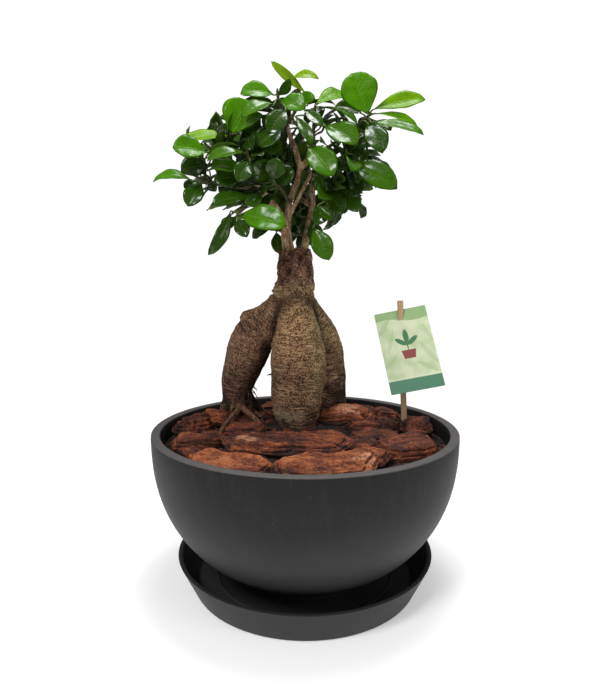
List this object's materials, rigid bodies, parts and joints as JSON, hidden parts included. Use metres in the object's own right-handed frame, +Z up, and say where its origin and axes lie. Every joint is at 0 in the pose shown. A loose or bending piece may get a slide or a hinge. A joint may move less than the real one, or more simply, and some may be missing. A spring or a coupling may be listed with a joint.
{
  "type": "ficus ginseng bonsai in a bowl planter",
  "caption": "Potted ginseng ficus bonsai: swollen standing roots, cut neck and leafy crown in a round bowl planter with saucer, bark mulch and a card label on a stick.",
  "frame": {"origin": "centre of the saucer's underside, on the surface that the pot stands on", "axes": "+Z up, -Y towards the front, where the round central root and the label's face are seen, +X to the right of the front view"},
  "size_m": [0.3, 0.3, 0.5031],
  "materials": {
    "pot_plastic": "matte anthracite, slightly lighter worn lip",
    "potting_soil": "rough crumbly potting mix with bark crumbs",
    "ficus_wood": "matte tan bark with fine pale cross lines, reddish brown at the neck",
    "ficus_leaf": "glossy dark to bright green leaves, paler below",
    "pine_bark": "rough layered reddish brown bark",
    "stick_wood": "plain split wood",
    "label_card": "satin printed card with a plain leaf pattern"
  },
  "bodies": {
    "root": {"bark_chip_01": "pine_bark", "bark_chip_02": "pine_bark", "bark_chip_03": "pine_bark", "bark_chip_04": "pine_bark", "bark_chip_05": "pine_bark", "bark_chip_06": "pine_bark", "bark_chip_07": "pine_bark", "bark_chip_08": "pine_bark", "bark_chip_09": "pine_bark", "bark_chip_10": "pine_bark", "bark_chip_11": "pine_bark", "bark_chip_12": "pine_bark", "bark_chip_13": "pine_bark", "bark_chip_14": "pine_bark", "bark_chip_15": "pine_bark", "bark_chip_16": "pine_bark", "bark_chip_17": "pine_bark", "bark_chip_18": "pine_bark", "bark_chip_19": "pine_bark", "bark_chip_20": "pine_bark", "bark_chip_21": "pine_bark", "bark_chip_22": "pine_bark", "bark_chip_23": "pine_bark", "bark_chip_24": "pine_bark", "bark_chip_25": "pine_bark", "bark_chip_26": "pine_bark", "bark_chip_27": "pine_bark", "bark_chip_28": "pine_bark", "bark_chip_29": "pine_bark", "bark_chip_30": "pine_bark", "bark_chip_31": "pine_bark", "bark_chip_32": "pine_bark", "bonsai_wood": "ficus_wood", "label_card": "label_card", "label_stick": "stick_wood", "pot": "pot_plastic", "saucer": "pot_plastic", "shoot_back_left": "ficus_leaf", "shoot_back_left_low": "ficus_leaf", "shoot_back_mid": "ficus_leaf", "shoot_back_right": "ficus_leaf", "shoot_back_right_low": "ficus_leaf", "shoot_back_top": "ficus_leaf", "shoot_heart": "ficus_leaf", "shoot_inner": "ficus_leaf", "shoot_inner_low": "ficus_leaf", "shoot_left_high": "ficus_leaf", "shoot_left_mid": "ficus_leaf", "shoot_left_tip": "ficus_leaf", "shoot_low_back": "ficus_leaf", "shoot_low_left": "ficus_leaf", "shoot_right_hub": "ficus_leaf", "shoot_right_low": "ficus_leaf", "shoot_right_top": "ficus_leaf", "shoot_right_under": "ficus_leaf", "shoot_top": "ficus_leaf", "shoot_top_left": "ficus_leaf", "shoot_top_tip": "ficus_leaf", "soil": "potting_soil"}
  },
  "joints": []
}
